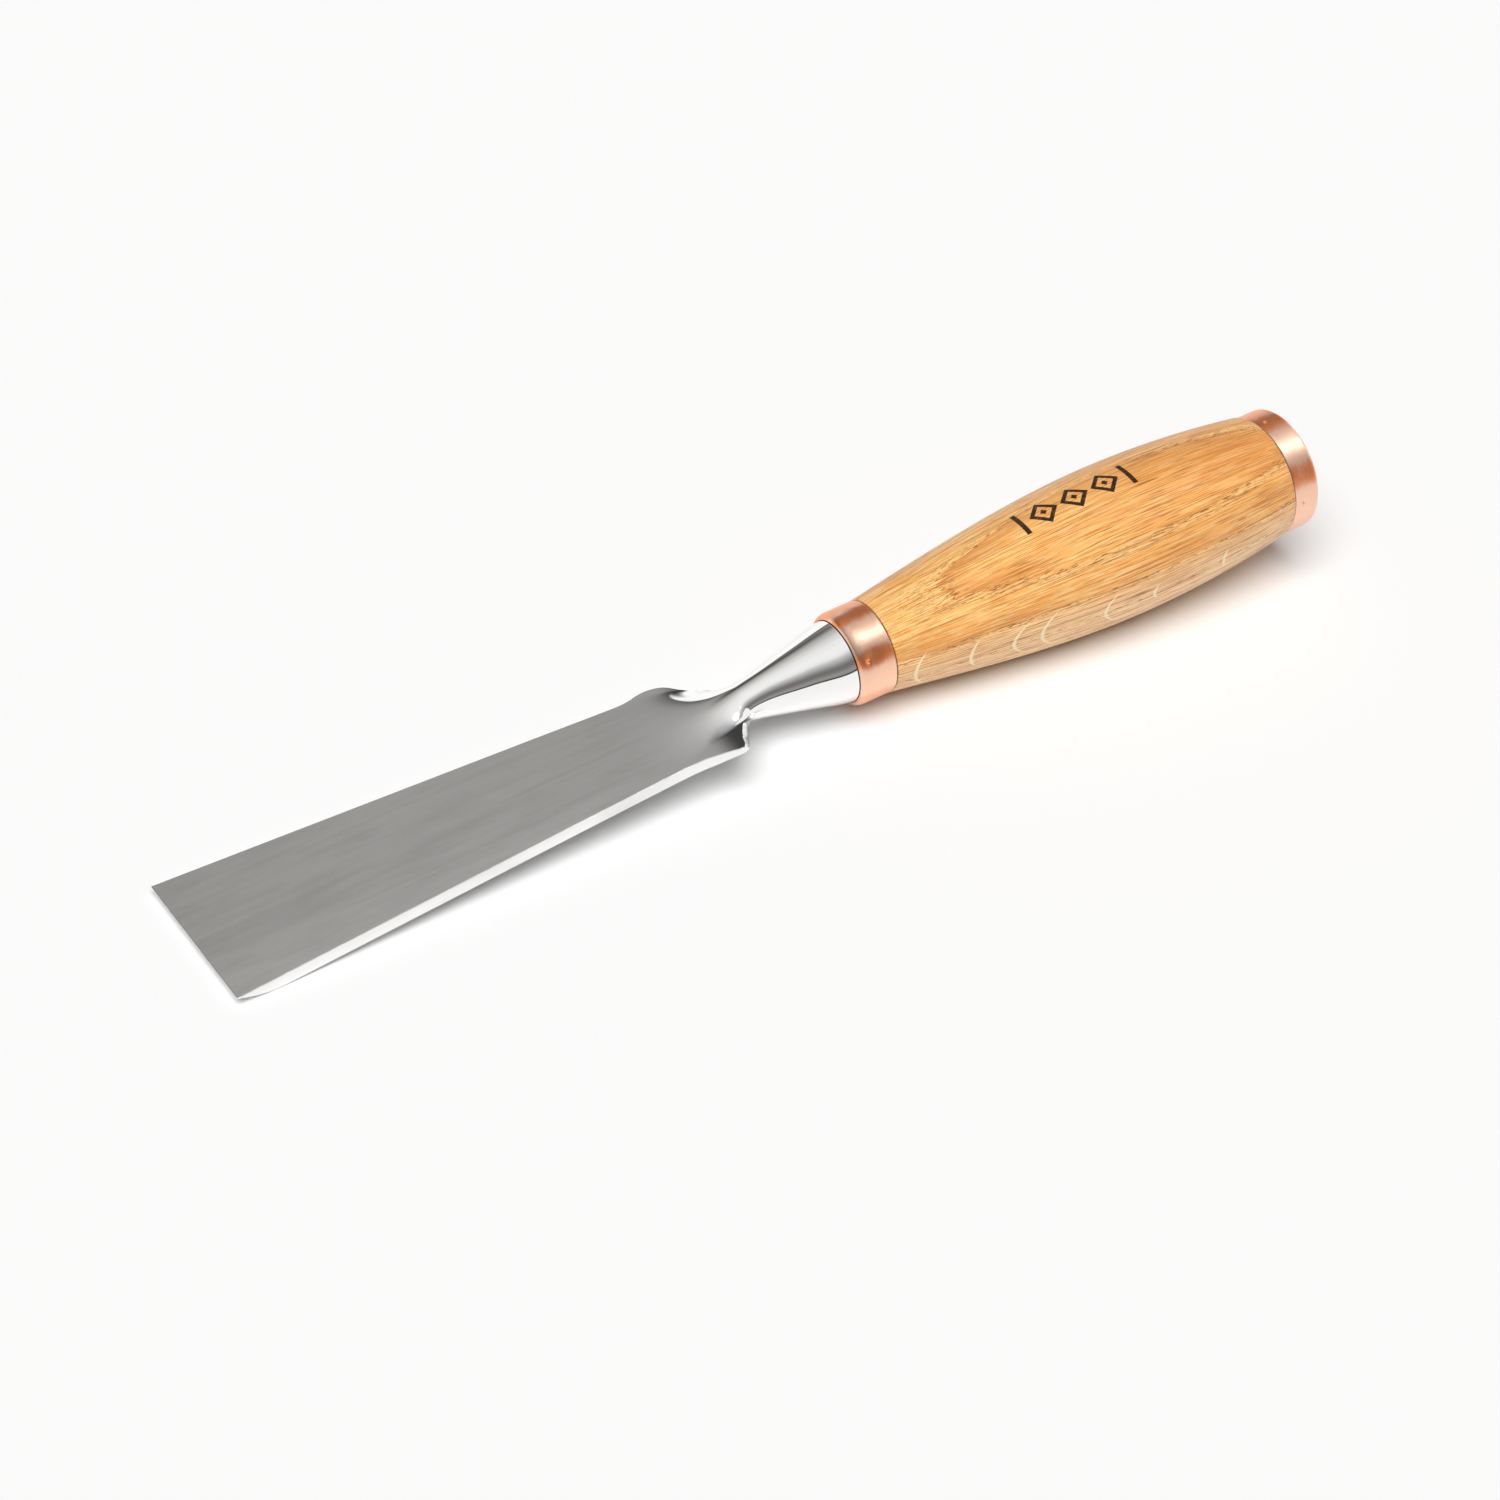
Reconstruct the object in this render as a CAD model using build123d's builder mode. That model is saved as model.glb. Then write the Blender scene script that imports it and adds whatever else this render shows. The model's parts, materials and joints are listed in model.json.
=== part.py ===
"""Flat carving chisel with a flared blade.

Four pieces: a steel forging (blade, shoulders, conical bolster and tang in one), an oak handle turned
to a barrel shape, a copper ferrule at its front and a copper hoop at its striking end.

The chisel lies as it does on a bench: the heel of its bevel and the handle's belly touch Z = 0, +X runs
from the cutting edge towards the handle, and the origin is under the middle of its length. Sizes are in
millimetres. Stations are distances along the handle's axis, measured from the cutting edge.
"""

import os
from math import atan2, cos, sin

from build123d import *

# ---- Blade -------------------------------------------------------------------------------------
blade_length = 132.6  # from the cutting edge to the shoulders
edge_width = 45.0  # across the cutting edge
edge_land = 0.15  # what is left of the thickness at the cutting edge itself
edge_drop = 1.1  # the blade's middle lies this far below the axis at the cutting edge
blade_thickness = 3.0
bevel_length = 9.5  # on the underside only
bevel_belly = 0.25  # how far the rounded bevel stands proud of a flat one
waist_width = 28.8  # narrowest part of the blade
waist_ahead = 13.6  # from the waist to the shoulders

# ---- Shoulders and neck ------------------------------------------------------------------------
shoulder_width = 30.8
shoulder_rim = 1.6  # thickness left at the shoulders' outer edge
shoulder_rounding = 1.2
ridge_ahead = 20.6  # the ridge of the neck starts to rise this far ahead of the shoulders
ridge_spread = 7.5  # where the ridge's side has fallen to a third of its height
neck_radius = 4.4
neck_behind = 7.4  # from the shoulders to the neck
neck_hollow = 4.0  # radius of the hollow between each shoulder and the neck

# ---- Bolster and tang --------------------------------------------------------------------------
cone_length = 27.4  # from the neck to the ferrule's mouth
bolster_radius = 10.4
bolster_land = 2.0  # short straight stretch of the bolster, inside the ferrule
tang_length = 66.0
tang_root = 8.0  # side of the square tang where it leaves the bolster
tang_tip = 4.4
tang_gap = 0.1  # glue line round the tang

# ---- Ferrule -----------------------------------------------------------------------------------
ferrule_wall = 1.2
ferrule_length = 9.6
ferrule_lip = 0.8  # rounding of the ferrule's outer front edge
bolster_gap = 0.2  # between the bolster's land and the ferrule

# ---- Handle ------------------------------------------------------------------------------------
barrel_length = 115.7  # wood showing between the ferrule and the hoop
belly_radius = 19.2
belly_ahead = 43.4  # from the belly to the hoop
taper_slope = 0.146  # how fast the wood widens where it leaves the ferrule
wood_stand = 0.3  # the wood stands this far proud of the hoop's outside
wood_arris = 0.5  # rounding of the wood where it meets the hoop

# ---- Hoop --------------------------------------------------------------------------------------
hoop_radius = 15.6
hoop_wall = 1.4
hoop_length = 7.3
hoop_rounding = 0.9
striking_stand = 0.6  # the wood stands this far out of the hoop
striking_chamfer = 0.4

# ---- Stake marks that lock the rings to the wood -----------------------------------------------
stake_radius = 0.45
stake_depth = 0.35
ferrule_stakes = 3
ferrule_stake_turn = 154.0  # degrees from +Y towards +Z
ferrule_stake_behind = 2.6  # from the ferrule's mouth
hoop_stakes = 4
hoop_stake_turn = 90.0
hoop_stake_behind = 2.4  # from the hoop's front

# ---- Worked out from the sizes above -----------------------------------------------------------
half_thickness = blade_thickness / 2
edge_top = half_thickness - edge_drop
edge_foot = edge_top - edge_land
waist_station = blade_length - waist_ahead
ridge_station = blade_length - ridge_ahead
neck_station = blade_length + neck_behind
plate_end = neck_station + neck_radius  # the plate runs this far into the cone
bolster_station = neck_station + cone_length
bolster_seat = bolster_station + bolster_land
tang_station = bolster_seat + tang_length
ferrule_back = bolster_station + ferrule_length
hoop_station = ferrule_back + barrel_length
hoop_back = hoop_station + hoop_length
belly_station = hoop_station - belly_ahead
butt_station = hoop_back + striking_stand
tenon_radius = bolster_radius + bolster_gap
ferrule_radius = tenon_radius + ferrule_wall
hoop_tenon_radius = hoop_radius - hoop_wall
handle_back_radius = hoop_radius + wood_stand
cone_slope = (bolster_radius - neck_radius) / cone_length
cone_tip = neck_station - (neck_radius - half_thickness) / cone_slope
heel_depth = half_thickness + edge_drop * (1 - bevel_length / ridge_station)


# The handle widens from the ferrule to the belly along a curve with these four control points.
third = (belly_station - ferrule_back) / 3
front_curve = (
    (ferrule_back, ferrule_radius),
    (ferrule_back + third, ferrule_radius + third * taper_slope),
    (belly_station - third, belly_radius),
    (belly_station, belly_radius),
)


def rise_from_heel(share):
    """Slope, in radians, from the bevel's heel to a point at that share of the handle's front curve."""
    blend = ((1 - share) ** 3, 3 * share * (1 - share) ** 2, 3 * share**2 * (1 - share), share**3)
    distance = sum(weight * point[0] for weight, point in zip(blend, front_curve))
    radius = sum(weight * point[1] for weight, point in zip(blend, front_curve))
    return atan2(radius - heel_depth, distance - bevel_length)


# The bench touches the heel and the belly, so the axis rises by the steepest slope between them.
curve_steps = 2000
rest = max(rise_from_heel(step / curve_steps) for step in range(curve_steps + 1))

# ---- The tool's own planes, at that slope to the bench -------------------------------------------
along = Vector(cos(rest), 0, sin(rest))
upward = Vector(-sin(rest), 0, cos(rest))
front_x = -edge_top * sin(rest)
back_x = butt_station * cos(rest) + hoop_tenon_radius * sin(rest)
edge_height = heel_depth * cos(rest) - bevel_length * sin(rest)
edge_point = Vector(-(front_x + back_x) / 2, 0, edge_height)
tool_axis = Axis(edge_point, along)
side_plane = Plane(edge_point, x_dir=along, z_dir=(0, -1, 0))
plan_plane = Plane(edge_point, x_dir=along, z_dir=upward)


def station(distance):
    """The plane square to the tool's axis at a station: x is the tool's width, y its height."""
    return Plane(edge_point + along * distance, x_dir=(0, 1, 0), z_dir=along)


def stake_marks(distance, radius, count, first_turn):
    """Small cones punched into a ring of that radius, evenly spaced round it."""
    with Locations(station(distance)):
        with PolarLocations(radius, count, start_angle=first_turn):
            Cone(
                2 * stake_radius,
                0,
                2 * stake_depth,
                rotation=(0, -90, 0),
                mode=Mode.SUBTRACT,
            )


# ---- Blade forging -----------------------------------------------------------------------------
with BuildPart() as forging:
    # The ridge rises out of the flats to the neck's height while the rims beside it thin out.
    for share in (0, 0.25, 0.5, 0.75, 1):
        swell = share * share * (3 - 2 * share)
        crown = half_thickness + (neck_radius - half_thickness) * swell
        rim = half_thickness + (shoulder_rim / 2 - half_thickness) * swell
        flank = rim + (crown - rim) / 3
        reach = edge_width / 2
        with BuildSketch(station(ridge_station + (plate_end - ridge_station) * share)):
            with BuildLine():
                Spline(
                    (-reach, rim), (-ridge_spread, flank), (0, crown), (ridge_spread, flank), (reach, rim),
                    tangents=((1, 0), (1, 0)),
                )
                Line((reach, rim), (reach, -rim))
                Spline(
                    (reach, -rim), (ridge_spread, -flank), (0, -crown), (-ridge_spread, -flank), (-reach, -rim),
                    tangents=((-1, 0), (-1, 0)),
                )
                Line((-reach, -rim), (-reach, rim))
            make_face()
    loft()
    # The plate seen from the side: flat top, rounded bevel underneath, full thickness after it.
    with BuildSketch(side_plane):
        with BuildLine():
            Line((0, edge_foot), (0, edge_top))
            Line((0, edge_top), (ridge_station, half_thickness))
            Line((ridge_station, half_thickness), (ridge_station, -half_thickness))
            Line((ridge_station, -half_thickness), (bevel_length, -heel_depth))
            SagittaArc((bevel_length, -heel_depth), (0, edge_foot), bevel_belly)
        make_face()
    extrude(amount=edge_width / 2, both=True)
    # Seen from above: taper to the waist, flare to the shoulders, hollow into the neck.
    with BuildSketch(plan_plane.offset(-belly_radius)):
        with BuildLine():
            side = Line((0, edge_width / 2), (waist_station, waist_width / 2))
            flare = TangentArc(side @ 1, (blade_length, shoulder_width / 2), tangent=side % 1)
            Polyline(flare @ 1, (neck_station, neck_radius), (plate_end, neck_radius))
            mirror(about=Plane.XZ)
            Line((0, -edge_width / 2), (0, edge_width / 2))
            Line((plate_end, -neck_radius), (plate_end, neck_radius))
        make_face()
        fillet(vertices().filter_by_position(Axis.X, blade_length, blade_length), shoulder_rounding)
        fillet(vertices().filter_by_position(Axis.X, neck_station, neck_station), neck_hollow)
    extrude(amount=2 * belly_radius, mode=Mode.INTERSECT)
    # Neck, cone and the bolster's land.
    with BuildSketch(side_plane):
        with BuildLine():
            Polyline(
                (cone_tip, 0),
                (cone_tip, half_thickness),
                (bolster_station, bolster_radius),
                (bolster_seat, bolster_radius),
                (bolster_seat, 0),
                close=True,
            )
        make_face()
    revolve(axis=tool_axis)
    # Square tang, tapering into the handle.
    with BuildSketch(station(bolster_seat)):
        Rectangle(tang_root, tang_root)
    with BuildSketch(station(tang_station)):
        Rectangle(tang_tip, tang_tip)
    loft(ruled=True)

# ---- Oak handle --------------------------------------------------------------------------------
with BuildPart() as handle:
    # Half outline: tenon, shoulder, taper to the belly, shoulder, rear tenon, striking end.
    with BuildSketch(side_plane):
        with BuildLine():
            Polyline(
                (bolster_seat, 0),
                (bolster_seat, tenon_radius),
                (ferrule_back, tenon_radius),
                (ferrule_back, ferrule_radius),
            )
            Bezier(*front_curve)
            TangentArc((belly_station, belly_radius), (hoop_station, handle_back_radius), tangent=(1, 0))
            Polyline(
                (hoop_station, handle_back_radius),
                (hoop_station, hoop_tenon_radius),
                (butt_station, hoop_tenon_radius),
                (butt_station, 0),
                (bolster_seat, 0),
            )
        make_face()
        arris = vertices().filter_by_position(Axis.X, hoop_station, hoop_station)
        fillet(arris.sort_by(Axis.Y)[-1], wood_arris)
        strike = vertices().filter_by_position(Axis.X, butt_station, butt_station)
        chamfer(strike.sort_by(Axis.Y)[-1], striking_chamfer)
    revolve(axis=tool_axis)
    # Mortise for the tang.
    with BuildSketch(station(bolster_seat)):
        Rectangle(tang_root + 2 * tang_gap, tang_root + 2 * tang_gap)
    with BuildSketch(station(tang_station + tang_gap)):
        Rectangle(tang_tip + 2 * tang_gap, tang_tip + 2 * tang_gap)
    loft(ruled=True, mode=Mode.SUBTRACT)

# ---- Ferrule -----------------------------------------------------------------------------------
with BuildPart() as ferrule:
    # Tight on the wood's front tenon, a little open round the bolster.
    with BuildSketch(station(bolster_station)):
        Circle(ferrule_radius)
        Circle(tenon_radius, mode=Mode.SUBTRACT)
    extrude(amount=ferrule_length)
    front_face = faces().filter_by(tool_axis).sort_by(tool_axis)[0]
    fillet(front_face.outer_wire().edges(), ferrule_lip)
    stake_marks(
        bolster_station + ferrule_stake_behind, ferrule_radius, ferrule_stakes, ferrule_stake_turn
    )

# ---- Hoop at the striking end ------------------------------------------------------------------
with BuildPart() as hoop:
    with BuildSketch(station(hoop_station)):
        Circle(hoop_radius)
        Circle(hoop_tenon_radius, mode=Mode.SUBTRACT)
    extrude(amount=hoop_length)
    rear_face = faces().filter_by(tool_axis).sort_by(tool_axis)[-1]
    fillet(rear_face.outer_wire().edges(), hoop_rounding)
    stake_marks(hoop_station + hoop_stake_behind, hoop_radius, hoop_stakes, hoop_stake_turn)

# ---- Pieces ------------------------------------------------------------------------------------
forging.part.label = "blade_forging"
handle.part.label = "handle"
ferrule.part.label = "ferrule"
hoop.part.label = "striking_hoop"

os.makedirs("parts", exist_ok=True)
export_step(forging.part, "parts/blade_forging.step")
export_step(handle.part, "parts/handle.step")
export_step(ferrule.part, "parts/ferrule.step")
export_step(hoop.part, "parts/striking_hoop.step")
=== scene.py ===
"""The looks of a flat carving chisel with a flared blade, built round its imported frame.

Four pieces stand for the four solids of the frame: the steel forging, the oak handle, the copper ferrule
and the copper striking hoop. Every shape is worked out in the tool's own axes, in millimetres: x runs along
the handle's axis from the cutting edge, y across the blade, z up from the axis. ToolAxes turns that into
the frame's metres. Turns round the axis are in degrees from +Y towards +Z.
"""

from __future__ import annotations

import json
import logging
from dataclasses import dataclass
from enum import Enum
from math import atan2, cos, pi, radians, sin, sqrt
from typing import Any, Sequence, Union

import bpy
import numpy as np
from mathutils import Matrix, Vector

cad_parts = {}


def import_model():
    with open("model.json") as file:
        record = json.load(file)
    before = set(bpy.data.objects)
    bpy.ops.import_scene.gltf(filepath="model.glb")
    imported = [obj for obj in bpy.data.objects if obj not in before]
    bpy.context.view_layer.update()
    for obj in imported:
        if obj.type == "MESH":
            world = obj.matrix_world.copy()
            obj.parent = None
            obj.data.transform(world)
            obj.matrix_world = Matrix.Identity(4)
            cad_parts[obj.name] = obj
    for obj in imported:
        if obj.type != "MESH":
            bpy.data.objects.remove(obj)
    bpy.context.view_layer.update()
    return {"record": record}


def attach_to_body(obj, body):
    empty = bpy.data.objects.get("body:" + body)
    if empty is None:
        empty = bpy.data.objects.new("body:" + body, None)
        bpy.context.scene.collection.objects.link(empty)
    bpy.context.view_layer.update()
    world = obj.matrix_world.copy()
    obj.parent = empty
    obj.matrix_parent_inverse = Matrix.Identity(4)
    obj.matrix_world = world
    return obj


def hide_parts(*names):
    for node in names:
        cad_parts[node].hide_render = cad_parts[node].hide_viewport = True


log = logging.getLogger("chisel")

MM = 0.001
OVERALL = 300.6  # length of the tool along its axis

Number = Union[float, int]
Span = tuple[float, float]
Triple = tuple[float, float, float]
Socket = bpy.types.NodeSocket


class Slot(Enum):
    """Material slots of the record."""

    STEEL = "steel"
    OAK = "oak"
    COPPER = "copper"


# ---- Places and meshes ---------------------------------------------------------------------------
@dataclass(frozen=True)
class ToolAxes:
    """The tool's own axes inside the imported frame."""

    edge: np.ndarray
    along: np.ndarray
    upward: np.ndarray

    @classmethod
    def from_record(cls, record: dict[str, Any], overall: float) -> "ToolAxes":
        """Reads the axes off the striking face's mount.

        Args:
            record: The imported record.
            overall: Length of the tool along its axis, in millimetres.

        Returns:
            The axes, with their origin in the cutting edge's plane.
        """
        face = next(mount for mount in record["mounts"] if mount["name"] == "striking_face")
        along = np.array(face["axis"], float)
        along /= np.linalg.norm(along)
        upward = np.array((-along[2], 0.0, along[0]))
        edge = np.array(face["pos_m"], float) - along * overall * MM
        return cls(edge=edge, along=along, upward=upward)

    @property
    def tilt(self) -> float:
        """Rise of the axis over the floor, in radians."""
        return atan2(self.along[2], self.along[0])

    def place(self, points: np.ndarray) -> np.ndarray:
        """Puts tool points in the frame: the edge's place, and x along, y across and z upward from it.

        Args:
            points: Tool points in millimetres, shape (..., 3).

        Returns:
            The same points in the frame, in metres.
        """
        across = np.array((0.0, 1.0, 0.0))
        x, y, z = points[..., 0:1], points[..., 1:2], points[..., 2:3]
        return self.edge + (x * self.along + y * across + z * self.upward) * MM

    def shader_origin(self) -> Triple:
        """The shift, in millimetres, that puts the pattern's origin in the cutting edge."""
        shift = -self.edge / MM
        return (float(shift @ self.along), float(shift[1]), float(shift @ self.upward))


def smooth_step(low: float, high: float, value: np.ndarray) -> np.ndarray:
    """The cubic 3t^2 - 2t^3 of how far value has gone from low to high, held at 0 and 1 outside."""
    share = np.clip((value - low) / (high - low), 0.0, 1.0)
    return share * share * (3.0 - 2.0 * share)


def soft_max(first: np.ndarray, second: np.ndarray, blend: float) -> np.ndarray:
    """The greater of two heights, with h^2 * blend / 4 added, where h is 1 - gap / blend and not below 0."""
    near = np.clip(1.0 - np.abs(first - second) / blend, 0.0, None)
    return np.maximum(first, second) + near * near * blend / 4.0


def soft_min(first: np.ndarray, second: np.ndarray, blend: float) -> np.ndarray:
    """The lesser of two heights, rounded in the same way as soft_max."""
    return -soft_max(-first, -second, blend)


def smooth_curve(stations: Sequence[Span], x: np.ndarray) -> np.ndarray:
    """A smooth curve through stations that never swings past them.

    Between two stations it is a cubic with given values and slopes at both ends. The slope at a station is
    the harmonic mean of the straight slopes on its two sides, or nothing where they differ in sign.

    Args:
        stations: Pairs of distance and value, in rising order of distance.
        x: Where the curve is wanted.

    Returns:
        The curve's values, in the shape of x.
    """
    places, values = np.array(stations, float).T
    gaps = np.diff(places)
    straight = np.diff(values) / gaps
    before, after = straight[:-1], straight[1:]
    same = before * after > 0.0
    mean = np.where(same, 2.0 * before * after / np.where(same, before + after, 1.0), 0.0)
    slopes = np.concatenate((straight[:1], mean, straight[-1:]))
    part = np.clip(np.searchsorted(places, x, side="right") - 1, 0, len(gaps) - 1)
    share = np.clip((x - places[part]) / gaps[part], 0.0, 1.0)
    rest = 1.0 - share
    start = rest * rest * ((1.0 + 2.0 * share) * values[part] + share * gaps[part] * slopes[part])
    end = share * share * ((3.0 - 2.0 * share) * values[part + 1] - rest * gaps[part] * slopes[part + 1])
    return start + end


def circle_turns(count: int) -> np.ndarray:
    """Evenly spaced turns in radians, from the underside round through +Y, so that the seam lies below."""
    return -pi / 2 + np.arange(count) * 2 * pi / count


def dent(turns: np.ndarray, along: np.ndarray, radius: float, at: Span, size: Span) -> np.ndarray:
    """A bell-shaped dent: exp(-d^2), d being the distance from its middle over its size.

    Args:
        turns: Turns round the axis, in radians.
        along: Distances along the axis.
        radius: Radius of the surface, which makes a turn a distance.
        at: The dent's middle: distance along the axis, and turn in degrees.
        size: Its reach along the axis and round it.

    Returns:
        The dent's share, which is 1 in its middle.
    """
    turned = np.angle(np.exp(1j * (turns - radians(at[1])))) * radius
    return np.exp(-(((along - at[0]) / size[0]) ** 2) - (turned / size[1]) ** 2)


@dataclass
class Skin:
    """A closed surface carried through rings of points."""

    name: str
    rings: np.ndarray  # (rings, points round, 3), tool millimetres
    closed_along: bool = False  # the last ring joins the first, as on a ring-shaped piece
    sharp_degrees: float = 35.0

    def faces(self) -> list[tuple[int, ...]]:
        """Quads between neighbouring rings, and a fan to a middle point at each open end.

        Returns:
            The numbers of each face's points, in the order that turns it outwards.
        """
        count, around = self.rings.shape[:2]
        index = np.arange(count * around).reshape(count, around)
        following = np.roll(index, -1, axis=1)
        first, second = index[:-1], index[1:]
        first_next, second_next = following[:-1], following[1:]
        if self.closed_along:
            first, first_next = index, following
            second, second_next = np.roll(index, -1, axis=0), np.roll(following, -1, axis=0)
        quads = np.stack((first, first_next, second_next, second), axis=-1).reshape(-1, 4)
        found = list(map(tuple, quads.tolist()))
        if not self.closed_along:
            start, end = count * around, count * around + 1
            fan_start = np.stack((following[0], index[0], np.full(around, start)), axis=-1)
            fan_end = np.stack((index[-1], following[-1], np.full(around, end)), axis=-1)
            found += list(map(tuple, fan_start.tolist())) + list(map(tuple, fan_end.tolist()))
        return found

    def build(self, axes: ToolAxes) -> bpy.types.Object:
        """Makes the object, smooth but for its true corners.

        Args:
            axes: Where the tool lies in the frame.

        Returns:
            The linked object, at the origin, with its place in its mesh.
        """
        points = self.rings.reshape(-1, 3)
        if not self.closed_along:
            points = np.vstack((points, self.rings[0].mean(axis=0), self.rings[-1].mean(axis=0)))
        mesh = bpy.data.meshes.new(self.name)
        mesh.from_pydata(axes.place(points).tolist(), [], self.faces())
        mesh.polygons.foreach_set("use_smooth", np.ones(len(mesh.polygons), bool))
        mesh.set_sharp_from_angle(angle=radians(self.sharp_degrees))
        mesh.update()
        piece = bpy.data.objects.new(self.name, mesh)
        bpy.context.scene.collection.objects.link(piece)
        return piece


# ---- Shader writing ------------------------------------------------------------------------------
class Value:
    """A number carried by a shader socket, which answers to arithmetic."""

    def __init__(self, bench: "NodeBench", socket: Socket) -> None:
        """Keeps the socket and the bench that its nodes are added to."""
        self.bench = bench
        self.socket = socket

    def __add__(self, other: "Term") -> "Value":
        """Sum."""
        return self.bench.math("ADD", self, other)

    def __sub__(self, other: "Term") -> "Value":
        """Difference."""
        return self.bench.math("SUBTRACT", self, other)

    def __rsub__(self, other: "Term") -> "Value":
        """Difference, with the number first."""
        return self.bench.math("SUBTRACT", other, self)

    def __mul__(self, other: "Term") -> "Value":
        """Product."""
        return self.bench.math("MULTIPLY", self, other)

    def __truediv__(self, other: "Term") -> "Value":
        """Quotient."""
        return self.bench.math("DIVIDE", self, other)

    def __pow__(self, other: "Term") -> "Value":
        """Power."""
        return self.bench.math("POWER", self, other)

    def __lt__(self, other: "Term") -> "Value":
        """One where this is less."""
        return self.bench.math("LESS_THAN", self, other)

    def __gt__(self, other: "Term") -> "Value":
        """One where this is greater."""
        return self.bench.math("GREATER_THAN", self, other)

    def __abs__(self) -> "Value":
        """Size without its sign."""
        return self.bench.math("ABSOLUTE", self)

    __radd__ = __add__
    __rmul__ = __mul__

    def clipped(self) -> "Value":
        """Held between 0 and 1."""
        return self.bench.math("MINIMUM", self.bench.math("MAXIMUM", self, 0.0), 1.0)

    def swing(self) -> "Value":
        """How far a noise is from its middle."""
        return self - 0.5

    def step(self, low: float, high: float) -> "Value":
        """Rises smoothly from 0 at low to 1 at high, or falls where high is the lesser.

        Args:
            low: Where the share is 0.
            high: Where the share is 1.

        Returns:
            The share, held at 0 and 1 outside.
        """
        if high < low:
            return 1.0 - self.step(high, low)
        node = self.bench.add(
            "ShaderNodeMapRange",
            {"interpolation_type": "SMOOTHSTEP"},
            {"Value": self, "From Min": low, "From Max": high},
        )
        return Value(self.bench, node.outputs["Result"])


Term = Union[Value, Number]


@dataclass(frozen=True)
class Grain:
    """A stretched noise."""

    scale: Triple  # how fine it is along each axis, per millimetre
    shift: Triple = (0.0, 0.0, 0.0)
    detail: float = 3.0
    rough: float = 0.5


@dataclass(frozen=True)
class Stain:
    """A tone laid on where a pattern passes from one value to another."""

    strength: float
    span: Span

    def over(self, pattern: Value) -> Value:
        """Share of the tone over the pattern."""
        return self.strength * pattern.step(*self.span)


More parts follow.
